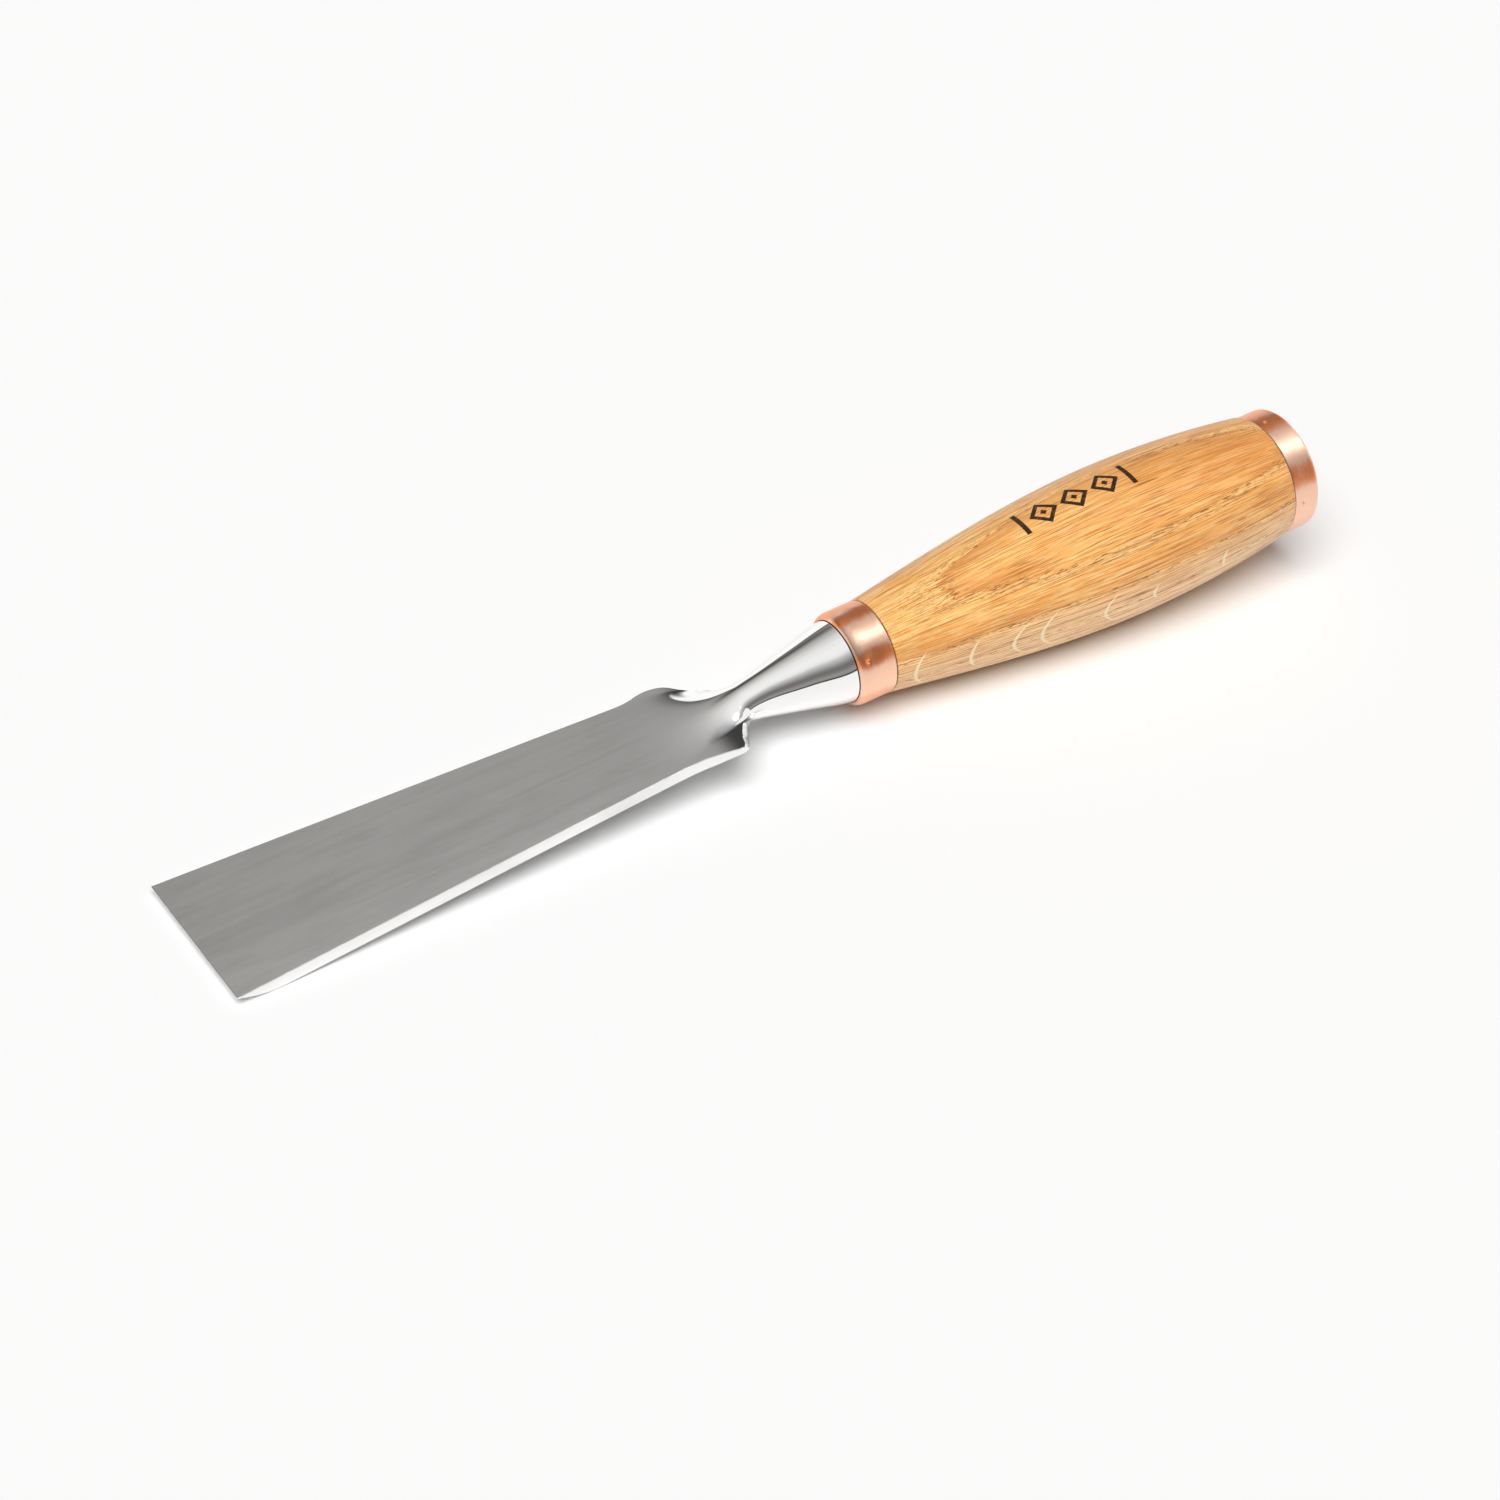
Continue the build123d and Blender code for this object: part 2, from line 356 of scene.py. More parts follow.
class NodeBench:
    """A node tree, with one way of adding a node."""

    def __init__(self, tree: bpy.types.NodeTree) -> None:
        """Empties the tree."""
        self.tree = tree
        tree.nodes.clear()

    def add(
        self, kind: str, settings: dict[str, Any] | None = None, sockets: dict[Any, Any] | None = None
    ) -> bpy.types.Node:
        """Adds one node.

        Args:
            kind: The node's type.
            settings: Its own settings, set first. "stops" gives a colour ramp's stops.
            sockets: What its inputs hold, by name or number: a number, a tuple, a Value or an output.

        Returns:
            The node.
        """
        node = self.tree.nodes.new(kind)
        for name, setting in (settings or {}).items():
            if name == "stops":
                self._set_stops(node.color_ramp, setting)
            else:
                setattr(node, name, setting)
        for name, held in (sockets or {}).items():
            source = held.socket if isinstance(held, Value) else held
            if isinstance(source, Socket):
                self.tree.links.new(source, node.inputs[name])
            else:
                node.inputs[name].default_value = source
        return node

    @staticmethod
    def _set_stops(ramp: bpy.types.ColorRamp, stops: Sequence[tuple[float, Sequence[float]]]) -> None:
        """Fills a ramp.

        Args:
            ramp: The ramp to fill.
            stops: Pairs of position and colour, in rising order of position.
        """
        while len(ramp.elements) < len(stops):
            ramp.elements.new(1.0)
        for element, (position, colour) in zip(ramp.elements, stops):
            element.position = position
            element.color = (*colour, 1.0)

    def math(self, operation: str, *terms: Term) -> Value:
        """One Math node over the terms."""
        node = self.add("ShaderNodeMath", {"operation": operation}, dict(enumerate(terms)))
        return Value(self, node.outputs[0])

    def tool_point(self, axes: ToolAxes) -> Socket:
        """The surface point in the tool's own axes.

        Args:
            axes: Where the tool lies in the frame.

        Returns:
            The point, in millimetres from the middle of the cutting edge.
        """
        place = self.add("ShaderNodeTexCoord").outputs["Object"]
        millimetre = 1.0 / MM
        turned = self.add(
            "ShaderNodeMapping",
            {"vector_type": "POINT"},
            {
                "Vector": place,
                "Location": axes.shader_origin(),
                "Rotation": (0.0, axes.tilt, 0.0),
                "Scale": (millimetre, millimetre, millimetre),
            },
        )
        return turned.outputs["Vector"]

    def parts(self, point: Socket) -> tuple[Value, Value, Value]:
        """The three numbers of a vector."""
        split = self.add("ShaderNodeSeparateXYZ", None, {0: point})
        return tuple(Value(self, split.outputs[axis]) for axis in range(3))

    def join(self, x: Term, y: Term, z: Term) -> Socket:
        """A vector of three numbers."""
        return self.add("ShaderNodeCombineXYZ", None, {0: x, 1: y, 2: z}).outputs[0]

    def noise(self, point: Socket, scale: float, detail: float, rough: float = 0.5) -> Value:
        """Fractal noise, about 0.5 in the middle."""
        sockets = {"Vector": point, "Scale": scale, "Detail": detail, "Roughness": rough}
        return Value(self, self.add("ShaderNodeTexNoise", None, sockets).outputs[0])

    def grain(self, point: Socket, grain: Grain) -> Value:
        """Noise over a point whose axes are scaled, then shifted.

        Args:
            point: The point, in millimetres.
            grain: The noise's stretch, shift and detail.

        Returns:
            The noise.
        """
        sockets = {"Vector": point, "Scale": grain.scale, "Location": grain.shift}
        stretched = self.add("ShaderNodeMapping", None, sockets).outputs["Vector"]
        return self.noise(stretched, 1.0, grain.detail, grain.rough)

    def blend(self, share: Term, first: Any, second: Any, kind: str = "MIX") -> Socket:
        """Two colours mixed.

        Args:
            share: Share of the second colour.
            first: The first colour: three numbers or a socket.
            second: The second colour, likewise.
            kind: The kind of blending.

        Returns:
            The mixed colour.
        """
        node = self.add(
            "ShaderNodeMix",
            {"data_type": "RGBA", "blend_type": kind},
            {"Factor": share, 6: self._colour(first), 7: self._colour(second)},
        )
        return node.outputs[2]

    @staticmethod
    def _colour(held: Any) -> Any:
        """A colour as a socket takes it: a link as it is, three numbers with a full alpha."""
        return held if isinstance(held, Socket) else (*held, 1.0)

    def bump(self, height: Value, strength: float, distance: float) -> Socket:
        """The normal of a fine relief. Distance is its depth in millimetres."""
        sockets = {"Height": height, "Strength": strength, "Distance": distance * MM}
        return self.add("ShaderNodeBump", None, sockets).outputs["Normal"]

    def finish(self, sockets: dict[str, Any]) -> None:
        """Ends the tree in one Principled shader with these inputs."""
        shader = self.add("ShaderNodeBsdfPrincipled", None, sockets)
        self.add("ShaderNodeOutputMaterial", None, {"Surface": shader.outputs[0]})


def new_bench(name: str) -> tuple[bpy.types.Material, NodeBench]:
    """Starts a material.

    Args:
        name: The material's name.

    Returns:
        The material and the bench for its nodes.
    """
    material = bpy.data.materials.new(name)
    material.use_nodes = True
    return material, NodeBench(material.node_tree)


# ---- Finishes ------------------------------------------------------------------------------------
@dataclass(frozen=True)
class PolishedSteel:
    """Tool steel: satin ground flats, mirror-bright shoulders, neck and bolster."""

    axes: ToolAxes
    satin: Triple = (0.87, 0.862, 0.85)
    # Colour of the painted light on the flats towards the near edge.
    near_painted_light: Triple = (0.97, 0.965, 0.955)
    near_painted_light_share: Stain = Stain(0.75, (-5.0, -19.0))  # painted light: lighter towards the near edge, over the way across the blade
    bright: Triple = (0.92, 0.92, 0.915)
    bright_span: Span = (106.0, 126.0)  # where satin turns bright, along the tool
    bright_wander: float = 12.0
    flat_roughness: float = 0.232
    cloud_roughness: float = 0.06
    drawn_roughness: float = 0.05
    bright_roughness: float = 0.045
    bright_haze: float = 0.03
    cloud_shade: Span = (0.30, 0.42)  # how dark, and from which value of the noise
    drawn_shade: Span = (0.20, 0.45)
    clouds: Grain = Grain((0.05, 0.16, 0.16))
    drawn: Grain = Grain((0.02, 0.55, 0.55))
    marks: Grain = Grain((7.0, 0.35, 0.35), detail=2.0)
    speckle: Span = (5.0, 3.0)  # scale and detail
    relief: Span = (0.20, 0.02)  # strength, and depth in millimetres
    relief_polished_off: float = 0.85
    # Colour of the painted shade line in the crease at the ferrule's mouth.
    mouth_line_shade: Triple = (0.05, 0.04, 0.035)
    mouth_line_roughness: float = 0.5
    mouth: float = 167.2  # the ferrule's mouth, where a thin dark line of painted shade lies on the steel
    mouth_line_ahead: float = 0.12
    mouth_line_behind: float = 0.05

    def material(self) -> bpy.types.Material:
        """Faint grinding marks across the flats, soft cloudiness, painted light towards the near edge, and a
        dark line of painted shade at the ferrule.

        Returns:
            The material.
        """
        material, bench = new_bench("forged_steel")
        point = bench.tool_point(self.axes)
        x, y, _ = bench.parts(point)
        clouds, drawn, marks = (bench.grain(point, grain) for grain in (self.clouds, self.drawn, self.marks))
        speckle = bench.noise(point, *self.speckle)
        bright = (x + self.bright_wander * clouds.swing()).step(*self.bright_span)
        satin = self.flat_roughness + self.cloud_roughness * clouds.swing()
        satin = satin + self.drawn_roughness * drawn.swing()
        polished = self.bright_roughness + self.bright_haze * clouds
        roughness = satin * (1.0 - bright) + polished * bright
        shades = ((clouds, *self.cloud_shade), (drawn, *self.drawn_shade))
        cloudy, streaky = (strength * (noise - least).clipped() for noise, strength, least in shades)
        shade = 1.0 - (1.0 - bright) * (cloudy + streaky)
        # Painted light: the flats are made lighter towards the near edge.
        flat = bench.blend(self.near_painted_light_share.over(y), self.satin, self.near_painted_light)
        colour = bench.blend(bright, flat, self.bright)
        colour = bench.blend(1.0, colour, bench.join(shade, shade, shade), "MULTIPLY")
        # Painted shade: a thin dark line in the crease where the steel enters the ferrule.
        mouth_line_shade = x.step(self.mouth - self.mouth_line_ahead, self.mouth + self.mouth_line_behind)
        relief = (marks * 0.5 + speckle * 0.5) * (1.0 - self.relief_polished_off * bright)
        bench.finish(
            {
                "Base Color": bench.blend(mouth_line_shade, colour, self.mouth_line_shade),
                "Metallic": 1.0,
                "Roughness": (roughness + self.mouth_line_roughness * mouth_line_shade).clipped(),
                "Normal": bench.bump(relief, *self.relief),
            }
        )
        return material


@dataclass(frozen=True)
class BrushedCopper:
    """Bare copper, brushed round its circumference, with painted shade in soft bars round it and on its far
    side.
    """

    axes: ToolAxes
    colour: Triple = (0.96, 0.62, 0.46)
    # Darker copper: the streaks' own tone, and the colour of the painted shade.
    toned_and_painted_shade: Triple = (1.0, 0.33, 0.13)
    # Painted shade: darker bars round the ring, set where its reflection is dark.
    bars: int = 6
    first_bar: float = 92.0  # turn of its middle, in degrees
    bar_painted_shade: Stain = Stain(0.95, (0.1, 1.0))
    bar_foot: Span = (-9.0, -1.0)  # heights between which the painted shade bars fade in
    patch_wobble: float = 1.1
    streak_wobble: float = 0.8
    streak_tone: Span = (0.5, 0.45)  # how much, and from which value of the noise
    far_painted_shade: Stain = Stain(0.7, (1.2, 4.2))  # painted shade on the far side, over the way across the tool
    least_roughness: float = 0.22
    streak_roughness: float = 0.22
    streaks: Grain = Grain((5.0, 0.16, 0.16), detail=4.0, rough=0.65)
    scratches: Grain = Grain((14.0, 0.5, 0.5), detail=2.0)
    patches: Grain = Grain((0.35, 0.22, 0.22))
    relief: Span = (0.75, 0.08)  # strength, and depth in millimetres
    scratch_share: float = 0.3  # of the relief

    def material(self) -> bpy.types.Material:
        """Streaks that run round the ring, and painted shade: darker bars across it and a darker far side.

        Returns:
            The material.
        """
        material, bench = new_bench("brushed_copper")
        point = bench.tool_point(self.axes)
        _, y, z = bench.parts(point)
        grains = (self.streaks, self.scratches, self.patches)
        streaks, scratches, patches = (bench.grain(point, grain) for grain in grains)
        # Painted shade: darker bars round the ring and a darker far side; the streaks' tone is the copper's
        # own.
        turn = bench.math("ARCTAN2", z, y)
        bars = bench.math("COSINE", turn * float(self.bars) - radians(self.bars * self.first_bar))
        bars = bars + self.patch_wobble * patches.swing() + self.streak_wobble * streaks.swing()
        strength, least = self.streak_tone
        share = self.bar_painted_shade.over(bars) * z.step(*self.bar_foot) + strength * (streaks - least)
        share = (share + self.far_painted_shade.over(y)).clipped()
        relief = streaks * (1.0 - self.scratch_share) + scratches * self.scratch_share
        bench.finish(
            {
                "Base Color": bench.blend(share, self.colour, self.toned_and_painted_shade),
                "Metallic": 1.0,
                "Roughness": (self.least_roughness + self.streak_roughness * streaks).clipped(),
                "Normal": bench.bump(relief, *self.relief),
            }
        )
        return material


@dataclass(frozen=True)
class RayFlecks:
    """Pale crescents side by side on the handle's near face, where the oak's rays come to the surface."""

    turn: float = 193.0  # of the line that the crescents stand across, in degrees
    face: Span = (0.0, -6.0)  # they fade in between these places across the handle
    tip_width: float = 0.15
    middle_width: float = 0.50  # more than at the tips
    fade_from: float = 0.6  # share of the reach
    sharpness: float = 1.8
    crescents: tuple[Triple, ...] = (  # place along the tool, bow and reach of each
        (181.8, 0.10, 6.0), (196.2, 0.10, 5.0), (207.6, 0.15, 6.0), (215.2, 0.13, 7.0),
        (232.8, 0.16, 5.5), (247.0, 0.20, 2.6), (268.5, 0.10, 3.4),
    )

    def share(self, bench: NodeBench, point: Socket) -> Value:
        """Share of the flecks: each is a band about place + bow * along^2 that narrows to its tips.

        Args:
            bench: The material's bench.
            point: The point in the tool's own axes.

        Returns:
            The share.
        """
        x, y, z = bench.parts(point)
        sine, cosine = sin(radians(self.turn)), cos(radians(self.turn))
        along = z * cosine - y * sine
        square = along * along
        total: Value | None = None
        for place, bow, reach in self.crescents:
            width = self.tip_width + self.middle_width * (1.0 - square / (reach * reach)).clipped()
            fleck = 1.0 - abs(x - square * bow - place) / width
            fleck = fleck * abs(along).step(reach, self.fade_from * reach)
            total = fleck if total is None else bench.math("MAXIMUM", total, fleck)
        return (total * self.sharpness).clipped() * y.step(*self.face)


@dataclass(frozen=True)
class BurntMark:
    """A workshop mark: three open lozenges between two slim bars, across the upper face."""

    place: Span = (236.0, -1.0)  # along the tool and across it
    bar_place: float = 15.6
    bar_side: Span = (0.75, 0.55)
    bar_end: Span = (4.1, 3.8)
    lozenges: Triple = (-9.0, 0.0, 9.0)
    lozenge_reach: Span = (4.1, 4.0)  # along and across
    outside: Span = (1.02, 0.97)  # of the lozenge's line, as shares of its reach
    inside: Span = (0.60, 0.65)
    core: Span = (0.27, 0.20)
    scorch: Grain = Grain((1.2, 2.5, 2.5), detail=2.0)
    scorching: Span = (0.7, 0.6)  # at the least, and how much the noise adds

    def share(self, bench: NodeBench, point: Socket) -> Value:
        """Share of the mark. A lozenge is where |along| / reach + |across| / reach is below 1.

        Args:
            bench: The material's bench.
            point: The point in the tool's own axes.

        Returns:
            The share.
        """
        x, y, z = bench.parts(point)
        along, across = x - self.place[0], abs(y - self.place[1])
        total = abs(abs(along) - self.bar_place).step(*self.bar_side) * across.step(*self.bar_end)
        for place in self.lozenges:
            shape = abs(along - place) / self.lozenge_reach[0] + across / self.lozenge_reach[1]
            total = total + shape.step(*self.outside) * shape.step(*self.inside) + shape.step(*self.core)
        least, more = self.scorching
        scorch = least + more * bench.grain(point, self.scorch)
        return (total * scorch).clipped() * (z > 0.0)


@dataclass(frozen=True)
class OiledOak:
    """Turned oak, oiled, with growth layers, open pores, ray flecks and a burnt workshop mark; its lower near
    side is painted paler as light, and dark lines of painted shade lie at the rings.
    """

    axes: ToolAxes
    honey: Triple = (0.92, 0.450, 0.120)
    amber: Triple = (0.64, 0.23, 0.047)
    straw: Triple = (0.96, 0.62, 0.25)
    # Colour of the painted light that makes the lower near side paler, as the white table's bounce and
    # reflection would.
    pale_painted_light: Triple = (0.96, 0.68, 0.40)
    umber: Triple = (0.42, 0.135, 0.028)
    pore: Triple = (0.23, 0.070, 0.016)
    ray: Triple = (0.96, 0.80, 0.52)
    # Colour of the burnt mark, and of the painted shade at the joints with the rings.
    char_and_joint_shade: Triple = (0.010, 0.005, 0.004)
    # Growth layers: cylinders about the tree's middle. Spans within a layer are shares of its width.
    layer_turn: float = 24.3  # about the axis, in degrees
    layer_width: float = 5.7
    layer_start: float = 5.1
    layer_radius: float = 120.0
    layer_arch: Span = (252.0, 0.0007)  # highest place, and fall with the square of the way from it
    wander: Grain = Grain((0.02, 0.12, 0.12), detail=2.0)
    wander_depth: float = 1.6
    ripple: Grain = Grain((0.16, 1.1, 1.1))
    ripple_depth: float = 0.7
    porous_span: Span = (0.80, 0.90)
    line_front: Span = (0.965, 0.995)
    line_back: Span = (0.05, 0.02)
    late_span: Span = (0.75, 0.0)
    # Noises, in the solid wood or along the fibres.
    broad: Grain = Grain((0.014, 0.16, 0.16), (3.0, 1.0, 5.0), detail=2.0)
    wide: Grain = Grain((0.04, 1.3, 1.3), (0.0, 3.0, 1.0), rough=0.6)
    streaks: Grain = Grain((0.045, 2.6, 2.6), detail=4.0, rough=0.65)
    fine: Grain = Grain((0.12, 6.5, 6.5), rough=0.6)
    dashes: Grain = Grain((0.30, 3.8, 3.8), (7.0, 0.0, 0.0), 2.0, 0.6)
    long_pores: Grain = Grain((0.10, 4.6, 4.6), (2.0, 5.0, 0.0), 2.0)
    hairs: Grain = Grain((0.045, 4.6, 4.6), (1.0, 2.0, 9.0), rough=0.6)
    fibre_radius: float = 17.0
    axis_guard: float = 0.01  # keeps the power finite on the axis itself
    # How the tones are laid on.
    honey_span: Span = (0.38, 0.60)
    late_stain: Stain = Stain(0.55, (0.35, 0.6))
    butt_stain: Stain = Stain(0.35, (205.0, 275.0))
    # Painted light: paler towards the lower near side, laid over the layers' depth.
    low_side_painted_light: tuple[Stain, Stain] = (Stain(0.50, (6.0, 4.6)), Stain(0.42, (5.0, -2.0)))
    porous_stain: float = 0.50
    streak_stain: Stain = Stain(0.85, (0.51, 0.62))
    fine_stain: Stain = Stain(0.35, (0.46, 0.36))
    hair_stain: Stain = Stain(0.65, (0.55, 0.61))
    dash_span: Span = (0.54, 0.62)
    dashes_in_porous: float = 0.65
    fine_pores: Stain = Stain(0.5, (0.60, 0.70))
    open_pores: Stain = Stain(0.8, (0.60, 0.68))
    pore_stain: float = 0.85
    ray_stain: float = 0.85
    flecks: RayFlecks = RayFlecks()
    mark: BurntMark = BurntMark()
    mark_stain: float = 0.98
    joints: Span = (177.0, 292.7)  # where the wood meets the rings; a dark line of painted shade lies at each
    joint_span: Span = (0.45, 0.15)
    joint_painted_shade: float = 0.85
    # Surface.
    roughness: float = 0.44
    streak_roughness: float = 0.20
    char_roughness: float = 0.4
    oil: float = 0.16
    relief: Span = (0.45, 0.10)  # strength, and depth in millimetres
    fine_relief: float = 0.5
    streak_relief: float = 0.3
    mark_relief: float = 2.0

    def layers(self, bench: NodeBench, point: Socket) -> Value:
        """Depth through the growth layers, in millimetres.

        The layers are cylinders of layer_radius about the tree's middle, and arch along the tool with the
        square of the way from their highest place.

        Args:
            bench: The material's bench.
            point: The point in the tool's own axes.

        Returns:
            The depth.
        """
        x, y, z = bench.parts(point)
        sine, cosine = sin(radians(self.layer_turn)), cos(radians(self.layer_turn))
        depth = z * cosine - y * sine
        side = y * cosine + z * sine
        way = x - self.layer_arch[0]
        wander, ripple = bench.grain(point, self.wander), bench.grain(point, self.ripple)
        bent = side * side * (0.5 / self.layer_radius) + way * way * self.layer_arch[1]
        return depth + bent + self.wander_depth * wander.swing() + self.ripple_depth * ripple.swing()

    def material(self) -> bpy.types.Material:
        """Growth layers, pores and rays in the solid, and fine fibres that run along the turned surface.

        The fibres' point has its y and z brought out to fibre_radius, so that they follow the taper.

        Returns:
            The material.
        """
        material, bench = new_bench("oiled_oak")
        point = bench.tool_point(self.axes)
        x, y, z = bench.parts(point)
        outward = (y * y + z * z + self.axis_guard) ** -0.5 * self.fibre_radius
        fibre = bench.join(x, y * outward, z * outward)
        depth = self.layers(bench, point) - self.layer_start
        phase = bench.math("FRACT", depth / self.layer_width)
        porous = phase.step(*self.porous_span)
        line = phase.step(*self.line_front) + phase.step(*self.line_back)
        late = phase.step(*self.late_span) * (phase < self.porous_span[0])
        broad, wide, dashes = (bench.grain(point, grain) for grain in (self.broad, self.wide, self.dashes))
        fibres = (self.streaks, self.fine, self.long_pores, self.hairs)
        streaks, fine, long_pores, hairs = (bench.grain(fibre, grain) for grain in fibres)
        pores = dashes.step(*self.dash_span) * (self.dashes_in_porous * porous + line)
        pores = pores + self.fine_pores.over(fine) + self.open_pores.over(long_pores)
        mark = self.mark.share(bench, point)
        # Painted shade: dark lines in the gaps where the wood meets the rings.
        joint_shade = sum(abs(x - place).step(*self.joint_span) for place in self.joints)
        # Painted light: the lower near side made paler.
        low_side_light = sum(stain.over(depth) for stain in self.low_side_painted_light)
        tone = bench.blend(wide.step(*self.honey_span), self.straw, self.honey)
        for share, colour in (
            (self.late_stain.over(broad) * late, self.amber),
            (self.butt_stain.over(x), self.amber),
            (low_side_light, self.pale_painted_light),
            (self.porous_stain * porous, self.straw),
            (self.streak_stain.over(streaks), self.amber),
            (self.fine_stain.over(fine), self.straw),
            (self.hair_stain.over(hairs), self.umber),
            (self.pore_stain * pores.clipped(), self.pore),
            (self.ray_stain * self.flecks.share(bench, point), self.ray),
            (self.mark_stain * mark, self.char_and_joint_shade),
            (self.joint_painted_shade * joint_shade.clipped(), self.char_and_joint_shade),
        ):
            tone = bench.blend(share, tone, colour)
        roughness = self.roughness + self.streak_roughness * streaks.swing() + self.char_roughness * mark
        relief = fine * self.fine_relief + streaks * self.streak_relief - pores - mark * self.mark_relief
        bench.finish(
            {
                "Base Color": tone,
                "Roughness": roughness.clipped(),
                "IOR": 1.5,
                "Specular IOR Level": 0.4,
                "Coat Weight": (self.oil - self.oil * mark).clipped(),
                "Coat Roughness": 0.25,
                "Normal": bench.bump(relief, *self.relief),
            }
        )
        return material


@dataclass(frozen=True)
class PaleFloor:
    """Matt white table."""

    colour: Triple = (0.90, 0.90, 0.90)
    roughness: float = 0.9

    def material(self) -> bpy.types.Material:
        """A plain matt white.

        Returns:
            The material.
        """
        material, bench = new_bench("pale_table")
        colour = (*self.colour, 1.0)
        bench.finish({"Base Color": colour, "Roughness": self.roughness, "Specular IOR Level": 0.0})
        return material


# ---- The four pieces -----------------------------------------------------------------------------
# Distance from the edge and half width of the forging. Its two sides differ a little, as it is hand-forged.
NEAR_OUTLINE = (
    (0.0, 22.5), (60.0, 18.416), (100.0, 15.693), (112.0, 14.876), (117.0, 14.55), (119.5, 14.45),
    (122.0, 14.45), (125.5, 14.8), (129.0, 15.2), (132.2, 15.6), (133.5, 15.3), (134.5, 13.9),
    (135.9, 11.5), (137.6, 8.9), (139.5, 6.8), (141.8, 5.5), (144.0, 5.3), (155.0, 7.68),
    (167.4, 10.4), (169.4, 10.4),
)
FAR_OUTLINE = (
    (0.0, 22.5), (60.0, 18.416), (100.0, 15.693), (112.0, 14.876), (116.5, 14.65), (119.0, 14.9),
    (121.5, 15.5), (124.0, 15.8), (126.5, 15.5), (128.3, 14.9), (129.7, 14.0), (131.7, 11.95),
    (133.1, 10.7), (134.7, 9.6), (138.0, 7.5), (140.5, 5.6), (142.5, 5.05), (144.0, 5.28),
    (155.0, 7.68), (167.4, 10.4), (169.4, 10.4),
)
# Half width of the swelling that runs from the neck into the blade, on either side.
NEAR_SWELLING = (
    (0.0, 15.0), (104.0, 15.0), (112.0, 14.4), (120.0, 12.8), (127.0, 10.6), (132.0, 8.8), (135.0, 7.5),
    (138.0, 6.3), (141.0, 5.1), (144.0, 5.28), (155.0, 7.68), (167.4, 10.4), (169.4, 10.4),
)
FAR_SWELLING = (
    (0.0, 15.0), (104.0, 15.0), (112.0, 15.0), (120.0, 14.6), (127.0, 13.2), (132.0, 11.0), (135.0, 9.0),
    (138.0, 6.9), (141.0, 5.1), (144.0, 5.28), (155.0, 7.68), (167.4, 10.4), (169.4, 10.4),
)


